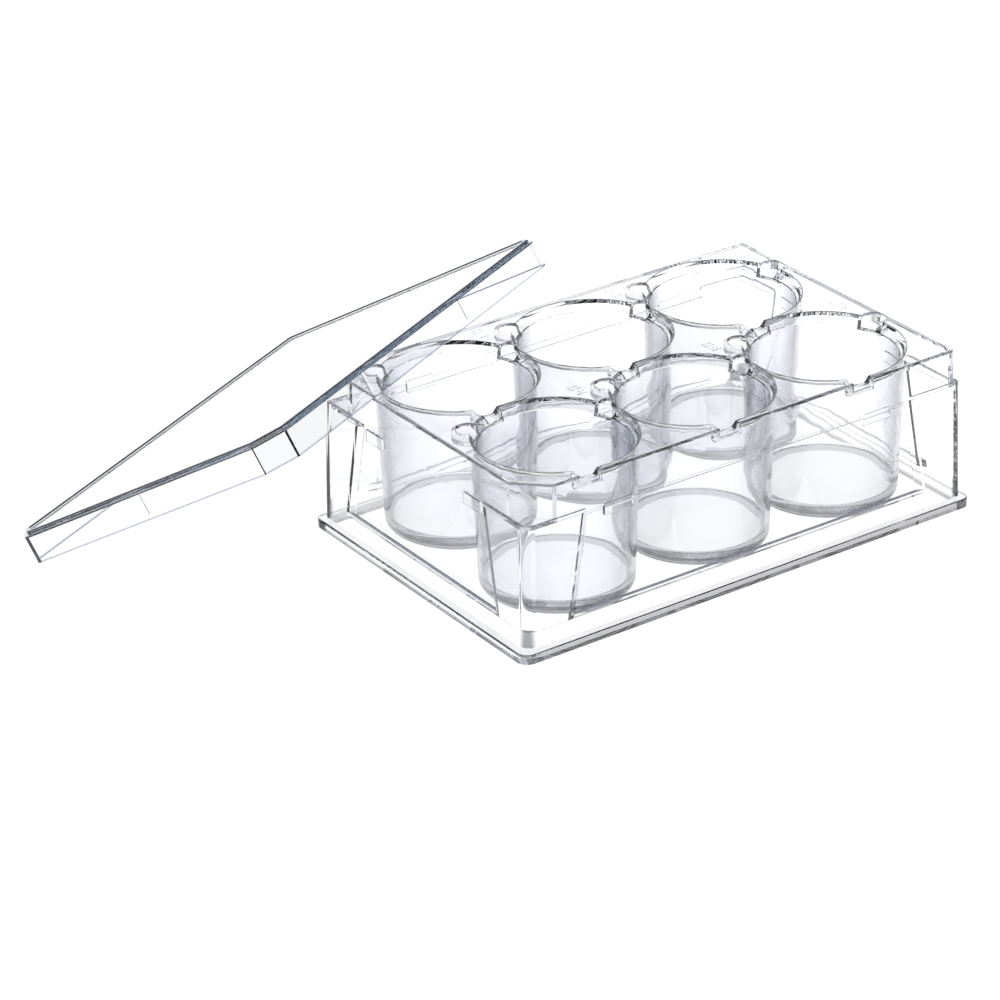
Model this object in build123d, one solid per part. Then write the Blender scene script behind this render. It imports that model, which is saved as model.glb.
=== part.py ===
from build123d import *
import math
import os

# Six-well culture plate with deep wells, and its loose cover leaning against it.
# Frame: millimetres, +Z up, origin at the centre of the plate's footprint on the bench.
# +X runs along the long side, +Y along the short side.

# ---------------------------------------------------------------- plate: driving dimensions
FOOT_X, FOOT_Y = 127.76, 85.48      # standard microplate footprint
HEIGHT = 39.7                       # bench to the deck
WALL = 1.2                          # general moulded wall
LIP_H, LIP_R = 2.2, 2.9             # foot lip: height and corner radius
SKIRT_IN_LOW, SKIRT_IN_TOP = 2.1, 2.7   # skirt inset from the footprint at z=0 and at the shoulder
SHOULDER_Z = 31.7                   # ledge that runs round below the deck
BAND_Z = 7.1                        # top of the plain band under the recessed side panels
DECK_IN_X, DECK_IN_Y = 4.0, 3.5     # deck outline inset at the top
DECK_FLARE = 0.25                   # how much wider the deck wall is at its foot
DECK_CHAMFER = 7.0                  # both corners of the row-A end (at -X) are cut
SKIRT_ROUND = 2.9                   # vertical corner rounding of the skirt at (-X, -Y); the others stay tight
DECK_T = 1.07                       # deck plate thickness

DECK_ROUND = 0.12                   # rounded top edge of the deck

PANEL_DEPTH = 1.1                   # side panels stand back from the corner columns
PANEL_SLANT = 2.0                   # the columns' flanks slope by this much over that depth
# panel half spans at the band and at the shoulder (the columns taper)
FRONT_LO, FRONT_TOP = (-48.6, 50.2), (-44.4, 46.2)
SIDE_LO, SIDE_TOP = (-28.2, 30.4), (-23.2, 25.6)

PITCH_X, PITCH_Y = 38.0, 38.2       # well spacing
WELL_MOUTH_R = 18.9                 # radius of the mouth at the deck
MOUTH_ROUND = 0.12                  # rounded edge of the mouth
WELL_TOP_R = 17.35                  # bore just below the funnel
LEDGE = 0.22                        # narrow ledge between funnel and bore
FUNNEL = 2.3                        # depth of the funnel
WELL_LOW_R = 16.37                  # bore at the floor
WELL_WALL = 0.95
WELL_FLOOR_Z = 6.8                  # inside floor of the wells
WELL_BASE_Z = 3.4                   # underside of the wells' thick, clear base
BASE_ROUND = 1.8                    # outer rounding of that base
FLOOR_ROUND = 0.6

NOTCH_R = 2.9                       # hanging notches: three round pockets per well
NOTCH_AT = 19.6                     # distance of the pocket's centre from the well's axis
NOTCH_DEEP = 2.35
NOTCH_WALL = 0.8
NOTCH_ANGLES = (15.0, 135.0, 255.0)

PAD_W, PAD_LO, PAD_HI, PAD_OUT = 7.6, 28.4, 31.2, 0.75  # stacking pads under the shoulder

MARK_AT = (16.9, 15.05)             # raised well number: its centre from the well's axis
MARK_H, MARK_W, MARK_LINE, MARK_GAP, MARK_OUT = 2.4, 1.7, 0.36, 0.9, 0.22

# ---------------------------------------------------------------- cover: driving dimensions
LID_LONG, LID_SHORT = 123.4, 83.5   # outside of the cover's skirt
LID_H = 6.86                        # skirt height, free edge to the step
LID_STEP_H, LID_STEP_IN = 0.84, 0.97  # raised top field: its height and its inset
LID_T = 1.45                        # top plate under the rim
RIM_W, RIM_DEEP = 1.1, 0.5          # stacking rim round the raised field: its width, and how deep the field lies in it
LID_FOOT = 0.25                     # rounded free edge of the skirt
LID_WALL = 1.2                      # skirt
LID_CUT = (4.9, 1.0, 3.3, 6.2)      # corner cuts A, B, C, D
RING_R, RING_W, RING_H = 17.6, 0.9, 0.3   # condensation rings under the top
RIB_W, RIB_OUT = 0.6, 0.5           # short guide ribs inside the skirt

# leaning pose: the long free edge A-B lies on the bench, and the underside of the
# top rests on a corner of the plate's deck
LEAN_X, LEAN_Y = -128.72, 64.03     # where the cover's corner A stands on the bench
LEAN_YAW = 26.65                    # degrees, direction of the edge on the bench
TOUCH = -0.05                      # the deck's corner is rounded, so the cover settles a little lower


def outline(xa, xb, ya, yb, cuts=(0, 0, 0, 0), r=0.0, z=0.0, r_first=None):
    """Closed rectangle face with corner cuts in the order (-,-), (+,-), (+,+), (-,+).
    r rounds every corner; r_first, where given, rounds the uncut corner (-,-)."""
    c0, c1, c2, c3 = cuts
    pts = []

    def corner(x, y, c, first, second):
        if c > 0:
            pts.append((x + first[0] * c, y + first[1] * c))
            pts.append((x + second[0] * c, y + second[1] * c))
        else:
            pts.append((x, y))

    corner(xa, ya, c0, (0, 1), (1, 0))
    corner(xb, ya, c1, (-1, 0), (0, 1))
    corner(xb, yb, c2, (0, -1), (-1, 0))
    corner(xa, yb, c3, (1, 0), (0, -1))
    wire = Wire.make_polygon([Vector(x, y, z) for x, y in pts], close=True)
    if r_first is not None:
        first = [v for v in wire.vertices() if abs(v.X - xa) < 1e-6 and abs(v.Y - ya) < 1e-6]
        rest = [v for v in wire.vertices() if v not in first]
        places = [v.center() for v in rest]
        wire = wire.fillet_2d(r_first, first)
        wire = wire.fillet_2d(r, [v for v in wire.vertices() if any((v.center() - p).length < 1e-6 for p in places)])
    elif r > 0:
        wire = wire.fillet_2d(r, wire.vertices())
    return Face(wire)


def frustum(lo, hi):
    return Solid.make_loft([lo.outer_wire(), hi.outer_wire()], ruled=True)


def skirt_outline(inset, z, r=0.8, t=0.0, r_first=SKIRT_ROUND):
    """Skirt outline at the given inset, moved in by the wall thickness t."""
    i = inset + t
    return outline(-FOOT_X / 2 + i, FOOT_X / 2 - i, -FOOT_Y / 2 + i, FOOT_Y / 2 - i, (0, 0, 0, 0), r, z, r_first)


def deck_outline(flare, z, t=0.0, r=0.7):
    """Deck outline, moved out by flare and in by the wall thickness t."""
    ix, iy = DECK_IN_X - flare + t, DECK_IN_Y - flare + t
    return outline(-FOOT_X / 2 + ix, FOOT_X / 2 - ix, -FOOT_Y / 2 + iy, FOOT_Y / 2 - iy, (DECK_CHAMFER, 0, 0, DECK_CHAMFER), r, z)


def slope(z):
    return SKIRT_IN_LOW + (SKIRT_IN_TOP - SKIRT_IN_LOW) * z / SHOULDER_Z


def side_panels(t):
    """The four blocks that push the side panels in. t = 0 for the outer skin, WALL for the inner skin."""
    out = []
    z0 = BAND_Z - t
    z1 = SHOULDER_Z + (1.0 if t == 0 else -t + 0.001)
    lean = PANEL_SLANT / PANEL_DEPTH
    wider = t * math.tan(math.atan2(1.0, lean) / 2)
    for (lo, top), horizontal, sign in (
        ((FRONT_LO, FRONT_TOP), True, -1),
        ((FRONT_LO, FRONT_TOP), True, 1),
        ((SIDE_LO, SIDE_TOP), False, -1),
        ((SIDE_LO, SIDE_TOP), False, 1),
    ):
        wires = []
        for z in (z0, z1):
            k = (z - BAND_Z) / (SHOULDER_Z - BAND_Z)
            a = lo[0] + (top[0] - lo[0]) * k + PANEL_SLANT / 2 - wider
            b = lo[1] + (top[1] - lo[1]) * k - PANEL_SLANT / 2 + wider
            half = (FOOT_Y if horizontal else FOOT_X) / 2
            inner = half - slope(z) - PANEL_DEPTH - t
            outer = half + 1
            g = (outer - inner) * lean
            if horizontal:
                p = [(a, sign * inner), (b, sign * inner), (b + g, sign * outer), (a - g, sign * outer)]
            else:
                p = [(sign * inner, a), (sign * inner, b), (sign * outer, b + g), (sign * outer, a - g)]
            wires.append(Wire.make_polygon([Vector(x, y, z) for x, y in p], close=True))
        out.append(Solid.make_loft(wires, ruled=True))
    return out


def pads():
    """Small stacking pads on the side panels, close to each corner column, under the shoulder."""
    out = []
    for x0 in (-39.6, 33.0):
        for sign in (-1, 1):
            y = sign * (FOOT_Y / 2 - slope(30) - PANEL_DEPTH)
            out.append(Solid.make_box(PAD_W, 2 * PAD_OUT, PAD_HI - PAD_LO, Plane((x0, y - PAD_OUT, PAD_LO))))
    for y0 in (-22.6, 16.4):
        for sign in (-1, 1):
            x = sign * (FOOT_X / 2 - slope(30) - PANEL_DEPTH)
            out.append(Solid.make_box(2 * PAD_OUT, PAD_W - 1, PAD_HI - PAD_LO, Plane((x - PAD_OUT, y0, PAD_LO))))
    return out


def well_centres():
    return [(i * PITCH_X, j * PITCH_Y / 2) for j in (1, -1) for i in (-1, 0, 1)]


def revolved(points, cx, cy):
    wire = Wire.make_polygon([Vector(x, 0, z) for x, z in points], close=True)
    s = Solid.revolve(Face(wire), 360, Axis.Z)
    return s.moved(Location((cx, cy, 0)))


def bore_r(z):
    """Radius of the bore at height z, below the funnel."""
    top, low = HEIGHT - FUNNEL, WELL_FLOOR_Z
    return WELL_LOW_R + (WELL_TOP_R - WELL_LOW_R) * (z - low) / (top - low)


def round_corner(cx, cz, r, a0, a1, n=6):
    return [(cx + r * math.cos(math.radians(a0 + (a1 - a0) * k / n)), cz + r * math.sin(math.radians(a0 + (a1 - a0) * k / n))) for k in range(n + 1)]


def well_outer(cx, cy):
    b = WELL_BASE_Z
    r_low = bore_r(b + BASE_ROUND) + WELL_WALL
    pts = [(0, b)]
    pts += round_corner(r_low - BASE_ROUND, b + BASE_ROUND, BASE_ROUND, -90, 0, 8)
    pts += [(bore_r(HEIGHT - FUNNEL - 0.6) + WELL_WALL, HEIGHT - FUNNEL - 0.6),
            (WELL_MOUTH_R + 0.05, HEIGHT - DECK_T),
            (WELL_MOUTH_R + 0.05, HEIGHT - 0.3), (0, HEIGHT - 0.3)]
    return revolved(pts, cx, cy)


def well_inner(cx, cy):
    f = WELL_FLOOR_Z
    r = bore_r(f + FLOOR_ROUND)
    pts = [(0, f)]
    pts += round_corner(r - FLOOR_ROUND, f + FLOOR_ROUND, FLOOR_ROUND, -90, 0, 4)
    pts += [(WELL_TOP_R, HEIGHT - FUNNEL - LEDGE / 2), (WELL_TOP_R + LEDGE, HEIGHT - FUNNEL)]
    pts += round_corner(WELL_MOUTH_R, HEIGHT - MOUTH_ROUND, MOUTH_ROUND, 150, 90, 4)
    pts += [(WELL_MOUTH_R, HEIGHT + 1), (0, HEIGHT + 1)]
    return revolved(pts, cx, cy)


def notch_places():
    for cx, cy in well_centres():
        for a in NOTCH_ANGLES:
            a = math.radians(a)
            yield cx + NOTCH_AT * math.cos(a), cy + NOTCH_AT * math.sin(a)


def cylinder(x, y, r, z0, z1):
    return Solid.make_cylinder(r, z1 - z0, Plane((x, y, z0)))


SEGMENTS = {0: "abcdef", 1: "bc", 2: "abdeg", 3: "abcdg", 4: "bcfg", 5: "acdfg", 6: "acdefg"}


def marks():
    """A plain two-figure number beside each well, read from the end with the cut corners.
    u runs to the reader's right (-Y) and v up the figure (+X)."""
    h, w, k = MARK_H, MARK_W, MARK_LINE
    bars = {
        "a": (0, h - k, w, h), "d": (0, 0, w, k), "g": (0, h / 2 - k / 2, w, h / 2 + k / 2),
        "f": (0, h / 2 - k / 2, k, h), "e": (0, 0, k, h / 2 + k / 2),
        "b": (w - k, h / 2 - k / 2, w, h), "c": (w - k, 0, w, h / 2 + k / 2),
    }
    out = []
    for n, (cx, cy) in enumerate(well_centres(), 1):
        left = cy + MARK_AT[1] + (2 * w + MARK_GAP) / 2
        for place, figure in enumerate((0, n)):
            y = left - place * (w + MARK_GAP)
            x = cx + MARK_AT[0] - h / 2
            strokes = []
            for name in SEGMENTS[figure]:
                u0, v0, u1, v1 = bars[name]
                strokes.append(Solid.make_box(v1 - v0, u1 - u0, MARK_OUT + 0.3, Plane((x + v0, y - u1, HEIGHT - 0.3))))
            out += strokes
    return out


def make_plate():
    outer = frustum(skirt_outline(SKIRT_IN_LOW, 0), skirt_outline(SKIRT_IN_TOP, SHOULDER_Z))
    outer = outer.cut(*side_panels(0.0))
    lip = Solid.extrude(outline(-FOOT_X / 2, FOOT_X / 2, -FOOT_Y / 2, FOOT_Y / 2, r=LIP_R), Vector(0, 0, LIP_H))
    top_edges = [e for e in lip.edges() if abs(e.center().Z - LIP_H) < 1e-6]
    lip = lip.fillet(0.5, top_edges)
    deck = frustum(deck_outline(DECK_FLARE, SHOULDER_Z - 1), deck_outline(0, HEIGHT))
    deck_edges = [e for e in deck.edges() if abs(e.center().Z - HEIGHT) < 1e-6]
    deck = deck.fillet(DECK_ROUND, deck_edges)
    shell = outer.fuse(lip, deck, *pads())

    # below the panels the wall is thinner, and the rounded corner is filled in behind
    low = frustum(skirt_outline(SKIRT_IN_LOW, -1, 0.5, WALL - 0.3, 4.5), skirt_outline(SKIRT_IN_LOW + 0.13, BAND_Z - WALL, 0.5, WALL - 0.3, 4.5))
    corner = Solid.make_box(6, 6, BAND_Z - WALL + 1, Plane((-FOOT_X / 2, -FOOT_Y / 2, -1)))
    inner = frustum(skirt_outline(SKIRT_IN_LOW, -1, 0.5, WALL, SKIRT_ROUND - WALL), skirt_outline(SKIRT_IN_TOP, SHOULDER_Z - WALL, 0.5, WALL, SKIRT_ROUND - WALL)).cut(corner)
    inner = inner.cut(*side_panels(WALL))
    upper = frustum(deck_outline(DECK_FLARE, SHOULDER_Z - WALL - 1, WALL, 0.4), deck_outline(0, HEIGHT - DECK_T, WALL, 0.4))
    shell = shell.cut(inner, low, upper)

    cups = [well_outer(cx, cy) for cx, cy in well_centres()]
    # the pockets end at the deck's wall, so those next to an edge are open to the side
    keep = frustum(deck_outline(DECK_FLARE, SHOULDER_Z - 1, r=0.4), deck_outline(0, HEIGHT, r=0.4))
    pockets = [cylinder(x, y, NOTCH_R + NOTCH_WALL, HEIGHT - NOTCH_DEEP - 1.0, HEIGHT - 0.4).intersect(keep) for x, y in notch_places()]
    pockets = [s for p in pockets for s in p.solids()]
    shell = shell.fuse(*cups)
    shell = shell.fuse(*pockets)
    shell = shell.cut(*[well_inner(cx, cy) for cx, cy in well_centres()])
    shell = shell.cut(*[cylinder(x, y, NOTCH_R, HEIGHT - NOTCH_DEEP, HEIGHT + 1) for x, y in notch_places()])
    return shell.fuse(*marks())


def make_lid():
    """The cover in its own frame: X across the short side, Y along the long side, free edge at z = 0.
    Corners: A (0, 0), D (short, 0), C (short, long), B (0, long)."""
    cA, cB, cC, cD = LID_CUT
    total = LID_H + LID_STEP_H

    def rect(t, z, r):
        k = 0.5858 * t
        return outline(t, LID_SHORT - t, t, LID_LONG - t, tuple(max(c - k, 0.4) for c in (cA, cD, cC, cB)), r, z)

    skirt = Solid.extrude(rect(0, 0, 0.3), Vector(0, 0, LID_H))
    edge = [e for e in skirt.edges() if abs(e.center().Z - LID_H) < 1e-6]
    skirt = skirt.fillet(0.2, edge)
    edge = [e for e in skirt.edges() if abs(e.center().Z) < 1e-6]
    skirt = skirt.fillet(LID_FOOT, edge)
    field = Solid.extrude(rect(LID_STEP_IN, LID_H - 0.6, 0.3), Vector(0, 0, LID_STEP_H + 0.6))
    edge = [e for e in field.edges() if abs(e.center().Z - total) < 1e-6]
    field = field.fillet(0.2, edge)
    body = skirt.fuse(field)
    body = body.cut(Solid.extrude(rect(LID_STEP_IN + RIM_W, total - RIM_DEEP, 0.3), Vector(0, 0, RIM_DEEP + 1)))
    under = total - LID_T
    hollow = Solid.extrude(rect(LID_WALL, -1, 0.2), Vector(0, 0, 1 + under))
    body = body.cut(hollow)
    rings = []
    for i in (-1, 0, 1):
        for j in (-1, 1):
            cy, cx = LID_LONG / 2 + i * PITCH_X, LID_SHORT / 2 + j * PITCH_Y / 2
            ring = Solid.make_cylinder(RING_R + RING_W / 2, RING_H + 0.4, Plane((cx, cy, under - RING_H)))
            rings.append(ring.cut(Solid.make_cylinder(RING_R - RING_W / 2, RING_H + 2, Plane((cx, cy, under - RING_H - 1)))))
    ribs = []
    for y in (LID_LONG * 0.32, LID_LONG * 0.68):
        for x in (LID_WALL - 0.3, LID_SHORT - LID_WALL - RIB_OUT):
            ribs.append(Solid.make_box(RIB_OUT + 0.3, RIB_W, under - 0.8, Plane((x, y - RIB_W / 2, 1.2))))
    for x in (LID_SHORT / 2,):
        for y in (LID_WALL - 0.3, LID_LONG - LID_WALL - RIB_OUT):
            ribs.append(Solid.make_box(RIB_W, RIB_OUT + 0.3, under - 0.8, Plane((x - RIB_W / 2, y, 1.2))))
    return body.fuse(*rings).fuse(*ribs)


def lean_plane():
    """The cover's own frame where it leans: it turns about its long edge on the bench
    until the underside of its top meets the cut corner of the deck."""
    vx, vy, vz = -FOOT_X / 2 + DECK_IN_X + DECK_CHAMFER, FOOT_Y / 2 - DECK_IN_Y, HEIGHT
    yaw = math.radians(LEAN_YAW)
    # distance on the bench from the edge to below the resting corner
    d = (vx - LEAN_X) * math.sin(yaw) - (vy - LEAN_Y) * math.cos(yaw)
    under = LID_H + LID_STEP_H - LID_T
    lo, hi = math.radians(10), math.radians(60)

    def drop(a):
        """The free edge is rounded, so the cover stands this much lower at the tilt a."""
        return LID_FOOT * (math.sin(a) + math.cos(a) - 1)

    for _ in range(80):
        mid = (lo + hi) / 2
        if (vz + drop(mid)) * math.cos(mid) - d * math.sin(mid) > under - TOUCH:
            lo = mid
        else:
            hi = mid
    across = Vector(math.sin(yaw) * math.cos(lo), -math.cos(yaw) * math.cos(lo), math.sin(lo))
    along = Vector(math.cos(yaw), math.sin(yaw), 0)
    return Plane(origin=(LEAN_X, LEAN_Y, -drop(lo)), x_dir=across, z_dir=across.cross(along)), math.degrees(lo)


if __name__ == "__main__":
    os.makedirs("parts", exist_ok=True)
    plate = make_plate()
    plane, tilt = lean_plane()
    lid = make_lid().moved(plane.location)
    print("cover tilt", round(tilt, 3))
    for name, shape in (("plate", plate), ("lid", lid)):
        solids = shape.solids()
        print(name, "solids", len(solids), "volume", round(sum(s.volume for s in solids), 1), "box", shape.bounding_box())
        solid = solids[0] if len(solids) == 1 else Compound(children=list(solids))
        solid.label = name
        export_step(solid, "parts/" + name + ".step")
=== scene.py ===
import bpy, bmesh, math
import numpy as np
from mathutils import Matrix, Vector


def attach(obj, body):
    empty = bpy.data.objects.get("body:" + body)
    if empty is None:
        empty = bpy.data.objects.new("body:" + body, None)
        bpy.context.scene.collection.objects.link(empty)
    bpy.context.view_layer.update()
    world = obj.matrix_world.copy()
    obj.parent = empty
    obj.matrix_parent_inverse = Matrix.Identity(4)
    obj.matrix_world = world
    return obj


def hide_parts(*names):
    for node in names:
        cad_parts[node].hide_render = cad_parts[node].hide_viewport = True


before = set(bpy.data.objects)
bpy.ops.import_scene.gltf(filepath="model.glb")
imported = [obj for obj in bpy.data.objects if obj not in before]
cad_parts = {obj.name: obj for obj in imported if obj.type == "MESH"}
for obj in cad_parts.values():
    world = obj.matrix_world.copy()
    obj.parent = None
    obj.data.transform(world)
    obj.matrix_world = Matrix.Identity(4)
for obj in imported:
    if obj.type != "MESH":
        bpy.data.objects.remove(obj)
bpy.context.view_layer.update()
scene = bpy.context.scene


# ------------------------------------------------------------------ materials
def node_tree(name):
    m = bpy.data.materials.new(name)
    m.use_nodes = True
    nt = m.node_tree
    nt.nodes.clear()
    return m, nt, nt.nodes, nt.links


def ramp(N, stops):
    r = N.new("ShaderNodeValToRGB")
    r.color_ramp.elements[0].position = stops[0][0]
    r.color_ramp.elements[0].color = (*stops[0][1], 1)
    r.color_ramp.elements[1].position = stops[-1][0]
    r.color_ramp.elements[1].color = (*stops[-1][1], 1)
    for p, col in stops[1:-1]:
        r.color_ramp.elements.new(p).color = (*col, 1)
    return r


def math_node(N, Lk, op, a, b=None, c=None):
    m = N.new("ShaderNodeMath")
    m.operation = op
    for k, v in enumerate((a, b, c)):
        if v is None:
            continue
        if isinstance(v, (int, float)):
            m.inputs[k].default_value = v
        else:
            Lk.new(v, m.inputs[k])
    return m.outputs[0]


def mixed(N, Lk, fac, a, b, blend="MIX"):
    mx = N.new("ShaderNodeMix")
    mx.data_type = "RGBA"
    mx.blend_type = blend
    if isinstance(fac, (int, float)):
        mx.inputs["Factor"].default_value = fac
    else:
        Lk.new(fac, mx.inputs["Factor"])
    for k, v in ((6, a), (7, b)):
        if isinstance(v, tuple):
            mx.inputs[k].default_value = (*v, 1)
        else:
            Lk.new(v, mx.inputs[k])
    return mx.outputs[2]


def clear_plastic(name, tint_a, tint_b, absorb, density, edge_shade=None, zones=None, ior=1.585):
    """Clear crystal polystyrene: polished, faintly tinted in the wall, with moulding flow marks."""
    m, nt, N, Lk = node_tree(name)
    out = N.new("ShaderNodeOutputMaterial")
    b = N.new("ShaderNodeBsdfPrincipled")
    b.inputs["Transmission Weight"].default_value = 1.0
    b.inputs["IOR"].default_value = ior
    b.inputs["Specular IOR Level"].default_value = 0.5
    co = N.new("ShaderNodeTexCoord")
    # slow variation of tint
    n1 = N.new("ShaderNodeTexNoise")
    n1.inputs["Scale"].default_value = 22.0
    n1.inputs["Detail"].default_value = 0.0
    Lk.new(co.outputs["Object"], n1.inputs["Vector"])
    r1 = N.new("ShaderNodeValToRGB")
    r1.color_ramp.elements[0].position = 0.3
    r1.color_ramp.elements[0].color = (*tint_a, 1)
    r1.color_ramp.elements[1].position = 0.7
    r1.color_ramp.elements[1].color = (*tint_b, 1)
    Lk.new(n1.outputs["Fac"], r1.inputs["Fac"])
    lw = N.new("ShaderNodeLayerWeight")
    lw.inputs["Blend"].default_value = 0.5
    colour = r1.outputs["Color"]
    if edge_shade is not None:
        # painted shade: the base colour darkens where curved walls turn away from the view
        r4 = ramp(N, edge_shade)
        Lk.new(lw.outputs["Facing"], r4.inputs["Fac"])
        colour = mixed(N, Lk, 1.0, colour, r4.outputs["Color"], "MULTIPLY")
    if zones is not None:
        colour = zones(N, Lk, co.outputs["Object"], lw.outputs["Facing"], colour)
    Lk.new(colour, b.inputs["Base Color"])
    # roughness: polished with faint dull patches
    n2 = N.new("ShaderNodeTexNoise")
    n2.inputs["Scale"].default_value = 60.0
    n2.inputs["Detail"].default_value = 0.0
    Lk.new(co.outputs["Object"], n2.inputs["Vector"])
    r2 = N.new("ShaderNodeMapRange")
    r2.inputs["From Min"].default_value = 0.62
    r2.inputs["From Max"].default_value = 0.80
    r2.inputs["To Min"].default_value = 0.0
    r2.inputs["To Max"].default_value = 0.035
    Lk.new(n2.outputs["Fac"], r2.inputs["Value"])
    Lk.new(r2.outputs["Result"], b.inputs["Roughness"])
    # flow ripple of the moulded surface
    n3 = N.new("ShaderNodeTexNoise")
    n3.inputs["Scale"].default_value = 90.0
    n3.inputs["Detail"].default_value = 0.0
    Lk.new(co.outputs["Object"], n3.inputs["Vector"])
    bump = N.new("ShaderNodeBump")
    bump.inputs["Strength"].default_value = 0.05
    bump.inputs["Distance"].default_value = 0.0004
    Lk.new(n3.outputs["Fac"], bump.inputs["Height"])
    Lk.new(bump.outputs["Normal"], b.inputs["Normal"])
    Lk.new(b.outputs["BSDF"], out.inputs["Surface"])
    # the walls are clear, but long paths along a sheet turn dark blue-grey at its edges
    v = N.new("ShaderNodeVolumeAbsorption")
    v.inputs["Color"].default_value = (*absorb, 1)
    v.inputs["Density"].default_value = density
    Lk.new(v.outputs["Volume"], out.inputs["Volume"])
    return m


def plate_shade_zones(N, Lk, place, facing, colour):
    """Painted shade: the round well walls, thick plastic seen edge-on, are greyed in the base colour towards
    their outline; the wells' feet, level steps, foot lip, bench line, skirt corners and rims are painted darker
    too.
    """
    sx = N.new("ShaderNodeSeparateXYZ")
    Lk.new(place, sx.inputs[0])
    dx = math_node(N, Lk, "WRAP", sx.outputs["X"], 0.019, -0.019)
    dy = math_node(N, Lk, "SUBTRACT", sx.outputs["Y"], math_node(N, Lk, "MULTIPLY", math_node(N, Lk, "SIGN", sx.outputs["Y"]), 0.0191))
    r = math_node(N, Lk, "SQRT", math_node(N, Lk, "ADD", math_node(N, Lk, "MULTIPLY", dx, dx), math_node(N, Lk, "MULTIPLY", dy, dy)))
    near = math_node(N, Lk, "MULTIPLY", math_node(N, Lk, "GREATER_THAN", r, 0.0158), math_node(N, Lk, "LESS_THAN", r, 0.0184))
    # the pattern repeats along X: it stops where the wells do
    within = math_node(N, Lk, "LESS_THAN", math_node(N, Lk, "ABSOLUTE", sx.outputs["X"]), 0.057)
    near = math_node(N, Lk, "MULTIPLY", near, within)
    low = math_node(N, Lk, "LESS_THAN", sx.outputs["Z"], 0.0372)
    up = math_node(N, Lk, "GREATER_THAN", sx.outputs["Z"], 0.0035)
    wall = math_node(N, Lk, "MULTIPLY", math_node(N, Lk, "MULTIPLY", near, low), up)
    # painted shade: the well walls grey by viewing angle
    g = ramp(N, WELL_EDGE_SHADE)
    Lk.new(facing, g.inputs["Fac"])
    edge_shaded = mixed(N, Lk, 1.0, colour, g.outputs["Color"], "MULTIPLY")
    colour = mixed(N, Lk, wall, colour, edge_shaded)
    # painted shade: the rounded foot of each well is painted darker still
    foot = math_node(N, Lk, "MULTIPLY", math_node(N, Lk, "GREATER_THAN", r, 0.0151), math_node(N, Lk, "LESS_THAN", r, 0.0176))
    foot = math_node(N, Lk, "MULTIPLY", math_node(N, Lk, "MULTIPLY", foot, math_node(N, Lk, "LESS_THAN", sx.outputs["Z"], 0.0058)), math_node(N, Lk, "GREATER_THAN", sx.outputs["Z"], 0.0033))
    foot = math_node(N, Lk, "MULTIPLY", foot, within)
    colour = mixed(N, Lk, foot, colour, FOOT_SHADE)
    # painted shade: the level steps round the outside, under the deck and under the panels, are painted as dark
    # lines
    geo = N.new("ShaderNodeNewGeometry")
    nz = N.new("ShaderNodeSeparateXYZ")
    Lk.new(geo.outputs["True Normal"], nz.inputs[0])
    level = math_node(N, Lk, "GREATER_THAN", math_node(N, Lk, "ABSOLUTE", nz.outputs["Z"]), 0.9)
    under = math_node(N, Lk, "MULTIPLY", math_node(N, Lk, "LESS_THAN", sx.outputs["Z"], 0.0312), 0.0006)
    ax = math_node(N, Lk, "ADD", math_node(N, Lk, "ABSOLUTE", sx.outputs["X"]), under)
    ay = math_node(N, Lk, "ADD", math_node(N, Lk, "ABSOLUTE", sx.outputs["Y"]), under)
    outside = math_node(N, Lk, "MAXIMUM", math_node(N, Lk, "GREATER_THAN", ax, 0.0603), math_node(N, Lk, "GREATER_THAN", ay, 0.0393))
    height = math_node(N, Lk, "MULTIPLY", math_node(N, Lk, "GREATER_THAN", sx.outputs["Z"], 0.0045), math_node(N, Lk, "LESS_THAN", sx.outputs["Z"], 0.0385))
    step = math_node(N, Lk, "MULTIPLY", math_node(N, Lk, "MULTIPLY", level, outside), height)
    colour = mixed(N, Lk, step, colour, STEP_SHADE)
    # painted shade: the foot lip is a thick solid bead; its outer face is painted grey on the long sides and
    # darkest at the bench
    px = math_node(N, Lk, "ABSOLUTE", sx.outputs["X"])
    py = math_node(N, Lk, "ABSOLUTE", sx.outputs["Y"])
    long_side = math_node(N, Lk, "MULTIPLY", math_node(N, Lk, "GREATER_THAN", py, 0.04255), math_node(N, Lk, "LESS_THAN", sx.outputs["Z"], 0.0019))
    colour = mixed(N, Lk, long_side, colour, LIP_SHADE)
    # painted shade: the darkest line where the lip meets the bench
    edge_shade = math_node(N, Lk, "MAXIMUM", math_node(N, Lk, "GREATER_THAN", px, 0.06355), math_node(N, Lk, "GREATER_THAN", py, 0.04240))
    edge_shade = math_node(N, Lk, "MULTIPLY", edge_shade, math_node(N, Lk, "LESS_THAN", sx.outputs["Z"], 0.0006))
    colour = mixed(N, Lk, edge_shade, colour, BENCH_SHADE)
    # painted shade: the skirt's corners are painted dark in the plain band over the lip
    c = N.new("ShaderNodeMapRange")
    c.inputs["From Min"].default_value = 0.0996
    c.inputs["From Max"].default_value = 0.1004
    Lk.new(math_node(N, Lk, "ADD", px, py), c.inputs["Value"])
    band = math_node(N, Lk, "MULTIPLY", math_node(N, Lk, "GREATER_THAN", sx.outputs["Z"], 0.0024), math_node(N, Lk, "LESS_THAN", sx.outputs["Z"], 0.0068))
    colour = mixed(N, Lk, math_node(N, Lk, "MULTIPLY", c.outputs["Result"], band), colour, CORNER_SHADE)
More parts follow.
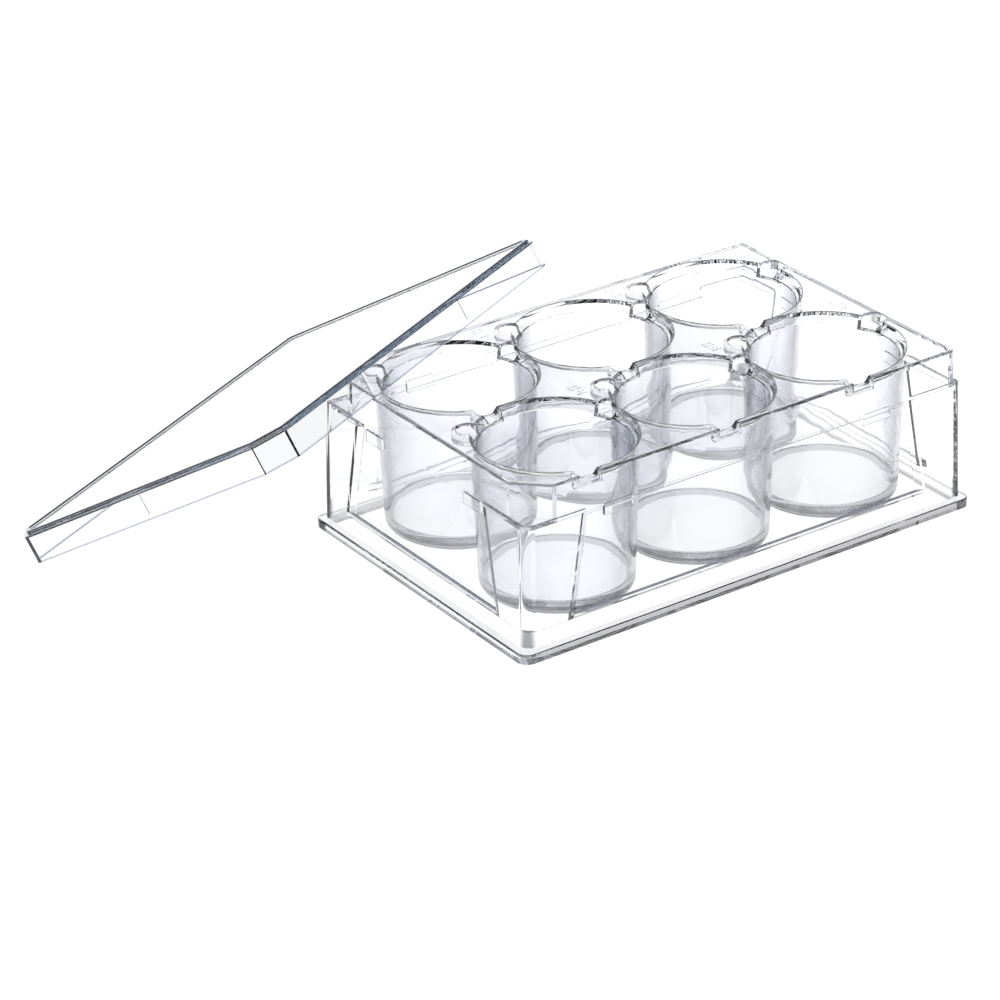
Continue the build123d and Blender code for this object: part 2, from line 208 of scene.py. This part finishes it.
    # painted shade: the crisp rims of the mouths, of the hanging pockets and of the deck are painted as thin grey
    # lines
    ring = math_node(N, Lk, "LESS_THAN", math_node(N, Lk, "ABSOLUTE", math_node(N, Lk, "SUBTRACT", r, 0.01892)), 0.00016)
    ring = math_node(N, Lk, "MULTIPLY", ring, within)
    near_by = None
    for cx, cy in ((18.932, 5.073), (-19.068, 5.073), (-13.859, 13.859), (-5.073, -18.932), (-5.073, 19.268)):
        ex = math_node(N, Lk, "SUBTRACT", dx, cx / 1000)
        ey = math_node(N, Lk, "SUBTRACT", dy, cy / 1000)
        d = math_node(N, Lk, "SQRT", math_node(N, Lk, "ADD", math_node(N, Lk, "MULTIPLY", ex, ex), math_node(N, Lk, "MULTIPLY", ey, ey)))
        near_by = d if near_by is None else math_node(N, Lk, "MINIMUM", near_by, d)
    pocket = math_node(N, Lk, "LESS_THAN", math_node(N, Lk, "ABSOLUTE", math_node(N, Lk, "SUBTRACT", near_by, 0.0029)), 0.00008)
    pocket = math_node(N, Lk, "MULTIPLY", pocket, math_node(N, Lk, "GREATER_THAN", sx.outputs["X"], -0.056))
    left = math_node(N, Lk, "LESS_THAN", sx.outputs["X"], -0.0597)
    front = math_node(N, Lk, "LESS_THAN", sx.outputs["Y"], -0.03906)
    both = math_node(N, Lk, "ADD", sx.outputs["X"], sx.outputs["Y"])
    cut = math_node(N, Lk, "LESS_THAN", both, -0.09185)
    deck = math_node(N, Lk, "MAXIMUM", math_node(N, Lk, "MAXIMUM", left, front), cut)
    rim = math_node(N, Lk, "MAXIMUM", math_node(N, Lk, "MAXIMUM", ring, pocket), deck)
    rim = math_node(N, Lk, "MULTIPLY", rim, math_node(N, Lk, "GREATER_THAN", sx.outputs["Z"], 0.03915))
    return mixed(N, Lk, rim, colour, RIM_SHADE)


def lid_shade_zones(N, Lk, place, facing, colour):
    """Painted shade: the cover's stacking rim is painted as a dark line, and its free edge as a faint one."""
    d = N.new("ShaderNodeVectorMath")
    d.operation = "DOT_PRODUCT"
    Lk.new(place, d.inputs[0])
    d.inputs[1].default_value = LID_N
    k = math_node(N, Lk, "SUBTRACT", d.outputs["Value"], LID_N0)
    m = N.new("ShaderNodeMapRange")
    m.inputs["From Min"].default_value = 0.00724
    m.inputs["From Max"].default_value = 0.00734
    Lk.new(k, m.inputs["Value"])
    # painted shade: near-black line along the cover's stacking rim
    colour = mixed(N, Lk, m.outputs["Result"], colour, (0.012, 0.016, 0.024))
    # painted shade: faint grey line along the cover's free edge
    foot = N.new("ShaderNodeMapRange")
    foot.inputs["From Min"].default_value = 0.0004
    foot.inputs["From Max"].default_value = 0.0003
    Lk.new(k, foot.inputs["Value"])
    return mixed(N, Lk, foot.outputs["Result"], colour, (0.50, 0.56, 0.64))


# painted shade colours for the plate's darker zones and lines
FOOT_SHADE = (0.34, 0.35, 0.38)
LIP_SHADE = (0.29, 0.29, 0.30)
BENCH_SHADE = (0.30, 0.30, 0.32)
CORNER_SHADE = (0.12, 0.13, 0.15)
STEP_SHADE = (0.20, 0.21, 0.25)
RIM_SHADE = (0.22, 0.23, 0.26)
# painted shade ramp for the well walls' outline
WELL_EDGE_SHADE = [(0.18, (1, 1, 1)), (0.45, (0.76, 0.77, 0.80)), (0.70, (0.32, 0.33, 0.36)), (1.0, (0.08, 0.09, 0.11))]
# plane of the leaning cover's free edge: its normal, and its distance along that normal
LID_N = (-0.22468735, 0.44771397, 0.86548703)
LID_N0 = -0.12872 * LID_N[0] + 0.06403 * LID_N[1] - 0.0000916 * LID_N[2]
# painted shade ramp: the plate's base colour darkens at grazing view
EDGE_SHADE = [(0.62, (1, 1, 1)), (0.88, (0.94, 0.945, 0.955)), (1.0, (0.62, 0.64, 0.68))]
plate_mat = clear_plastic("plate_clear", (0.968, 0.973, 0.992), (0.988, 0.988, 0.990), (0.38, 0.42, 0.48), 6.0, EDGE_SHADE, plate_shade_zones)
lid_mat = clear_plastic("lid_clear", (0.982, 0.988, 0.998), (0.992, 0.994, 0.998), (0.15, 0.28, 0.42), 26.0, None, lid_shade_zones)


# ------------------------------------------------------------------ pieces
def visual_copy(node, name, mat):
    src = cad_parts[node]
    me = src.data.copy()
    me.materials.clear()
    ob = bpy.data.objects.new(name, me)
    scene.collection.objects.link(ob)
    bm = bmesh.new()
    bm.from_mesh(me)
    bmesh.ops.remove_doubles(bm, verts=bm.verts, dist=2e-7)
    bm.to_mesh(me)
    bm.free()
    if "custom_normal" in me.attributes:
        me.attributes.remove(me.attributes["custom_normal"])
    me.polygons.foreach_set("use_smooth", [True] * len(me.polygons))
    me.set_sharp_from_angle(angle=math.radians(24))
    mod = ob.modifiers.new("wn", "WEIGHTED_NORMAL")
    mod.keep_sharp = True
    mod.weight = 100
    bpy.context.view_layer.objects.active = ob
    ob.select_set(True)
    bpy.ops.object.modifier_apply(modifier="wn")
    me.materials.append(mat)
    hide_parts(node)
    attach(ob, "root")
    return ob


plate = visual_copy("plate", "plate_body", plate_mat)
lid = visual_copy("lid", "cover_body", lid_mat)

# ------------------------------------------------------------------ floor
def make_floor():
    """Pale light table: evenly bright round the object, fading out towards its far edges."""
    m, nt, N, Lk = node_tree("pale_floor")
    out = N.new("ShaderNodeOutputMaterial")
    b = N.new("ShaderNodeBsdfPrincipled")
    b.inputs["Roughness"].default_value = 0.9
    b.inputs["Specular IOR Level"].default_value = 0.1
    b.inputs["Emission Strength"].default_value = 1.0
    co = N.new("ShaderNodeTexCoord")
    n = N.new("ShaderNodeTexNoise")
    n.inputs["Scale"].default_value = 4.0
    Lk.new(co.outputs["Object"], n.inputs["Vector"])
    r = N.new("ShaderNodeValToRGB")
    r.color_ramp.elements[0].color = (0.80, 0.80, 0.805, 1)
    r.color_ramp.elements[1].color = (0.82, 0.82, 0.825, 1)
    Lk.new(n.outputs["Fac"], r.inputs["Fac"])
    Lk.new(r.outputs["Color"], b.inputs["Base Color"])
    ln = N.new("ShaderNodeVectorMath")
    ln.operation = "LENGTH"
    Lk.new(co.outputs["Object"], ln.inputs[0])
    mr = N.new("ShaderNodeMapRange")
    mr.inputs["From Min"].default_value = 0.0
    mr.inputs["From Max"].default_value = 4.0
    Lk.new(ln.outputs["Value"], mr.inputs["Value"])
    g = N.new("ShaderNodeValToRGB")
    g.color_ramp.interpolation = "EASE"
    g.color_ramp.elements[0].position = 0.15
    g.color_ramp.elements[0].color = (EMIT, EMIT, EMIT, 1)
    g.color_ramp.elements[1].position = 0.45
    g.color_ramp.elements[1].color = (0.2, 0.2, 0.2, 1)
    Lk.new(mr.outputs["Result"], g.inputs["Fac"])
    Lk.new(g.outputs["Color"], b.inputs["Emission Color"])
    Lk.new(b.outputs["BSDF"], out.inputs["Surface"])
    me = bpy.data.meshes.new("floor")
    s = 6.0
    me.from_pydata([(-s, -s, 0), (s, -s, 0), (s, s, 0), (-s, s, 0)], [], [(0, 1, 2, 3)])
    me.materials.append(m)
    ob = bpy.data.objects.new("floor", me)
    ob.location = (0, 0, -0.0002)
    scene.collection.objects.link(ob)
    return ob


EMIT = 1.07
make_floor()

# ------------------------------------------------------------------ light
def area(name, loc, target, size, power, color=(1, 1, 1)):
    l = bpy.data.lights.new(name, "AREA")
    l.shape = "RECTANGLE"
    l.size, l.size_y = size
    l.energy = power
    l.color = color
    o = bpy.data.objects.new(name, l)
    o.location = loc
    d = Vector(target) - Vector(loc)
    o.rotation_euler = d.to_track_quat("-Z", "Y").to_euler()
    scene.collection.objects.link(o)
    return o


area("top_soft", (0.1, 0.35, 1.5), (0, 0, 0), (0.9, 0.9), 4.0, (1.0, 0.995, 0.985))
area("back_soft", (0.9, 1.5, 0.8), (0, 0, 0), (1.4, 1.0), 2.0, (0.985, 0.99, 1.0))

SWEEP = (0.30, 0.305, 0.32)
SWEEP_SIDE = (0.40, 0.75)
SWEEP_TOP = (0.50, 0.75)
w = bpy.data.worlds.new("studio")
scene.world = w
w.use_nodes = True
nt = w.node_tree
nt.nodes.clear()
o = nt.nodes.new("ShaderNodeOutputWorld")
bg = nt.nodes.new("ShaderNodeBackground")
tc = nt.nodes.new("ShaderNodeTexCoord")
sx = nt.nodes.new("ShaderNodeSeparateXYZ")
cr = nt.nodes.new("ShaderNodeValToRGB")
nt.links.new(tc.outputs["Generated"], sx.inputs[0])
nt.links.new(sx.outputs["Z"], cr.inputs["Fac"])
cr.color_ramp.elements[0].position = 0.0
cr.color_ramp.elements[0].color = (0.12, 0.12, 0.125, 1)
cr.color_ramp.elements[1].position = 1.0
cr.color_ramp.elements[1].color = (0.10, 0.10, 0.11, 1)
e = cr.color_ramp.elements.new(0.15)
e.color = (0.16, 0.16, 0.165, 1)
e = cr.color_ramp.elements.new(0.45)
e.color = (0.14, 0.14, 0.15, 1)
# a pale sweep stands behind the object, and the rest of the studio stays dim
dt = nt.nodes.new("ShaderNodeVectorMath")
dt.operation = "DOT_PRODUCT"
nt.links.new(tc.outputs["Generated"], dt.inputs[0])
dt.inputs[1].default_value = (0.561, 0.828, 0.0)
side = nt.nodes.new("ShaderNodeMapRange")
side.interpolation_type = "SMOOTHSTEP"
side.inputs["From Min"].default_value = SWEEP_SIDE[0]
side.inputs["From Max"].default_value = SWEEP_SIDE[1]
nt.links.new(dt.outputs["Value"], side.inputs["Value"])
top = nt.nodes.new("ShaderNodeMapRange")
top.interpolation_type = "SMOOTHSTEP"
top.inputs["From Min"].default_value = SWEEP_TOP[1]
top.inputs["From Max"].default_value = SWEEP_TOP[0]
nt.links.new(sx.outputs["Z"], top.inputs["Value"])
sweep = math_node(nt.nodes, nt.links, "MULTIPLY", side.outputs["Result"], top.outputs["Result"])
sky = mixed(nt.nodes, nt.links, sweep, cr.outputs["Color"], SWEEP)
nt.links.new(sky, bg.inputs["Color"])
bg.inputs["Strength"].default_value = 1.0
nt.links.new(bg.outputs["Background"], o.inputs["Surface"])

# ------------------------------------------------------------------ camera
yaw, pitch, roll = math.radians(-34.125), math.radians(27.041), -0.0261
fw = Vector((-math.sin(yaw) * math.cos(pitch), math.cos(yaw) * math.cos(pitch), -math.sin(pitch)))
right = Vector((math.cos(yaw), math.sin(yaw), 0))
up = right.cross(fw)
r2 = right * math.cos(roll) + up * math.sin(roll)
u2 = -right * math.sin(roll) + up * math.cos(roll)
cam_data = bpy.data.cameras.new("camera")
cam_data.sensor_width = 36.0
cam_data.lens = 3985.4 / 1000.0 * 36.0
cam_data.clip_start = 0.05
cam_data.clip_end = 60.0
cam = bpy.data.objects.new("camera", cam_data)
cam.matrix_world = Matrix((
    (r2.x, u2.x, -fw.x, -0.4909),
    (r2.y, u2.y, -fw.y, -0.6651),
    (r2.z, u2.z, -fw.z, 0.4263),
    (0, 0, 0, 1)))
scene.collection.objects.link(cam)
scene.camera = cam

scene.view_settings.view_transform = "Standard"
scene.view_settings.look = "None"
c = scene.cycles
c.max_bounces = 40
c.transmission_bounces = 40
c.glossy_bounces = 40
c.diffuse_bounces = 4
c.transparent_max_bounces = 16
c.caustics_reflective = False
c.caustics_refractive = False
c.sample_clamp_indirect = 6.0
c.use_denoising = True
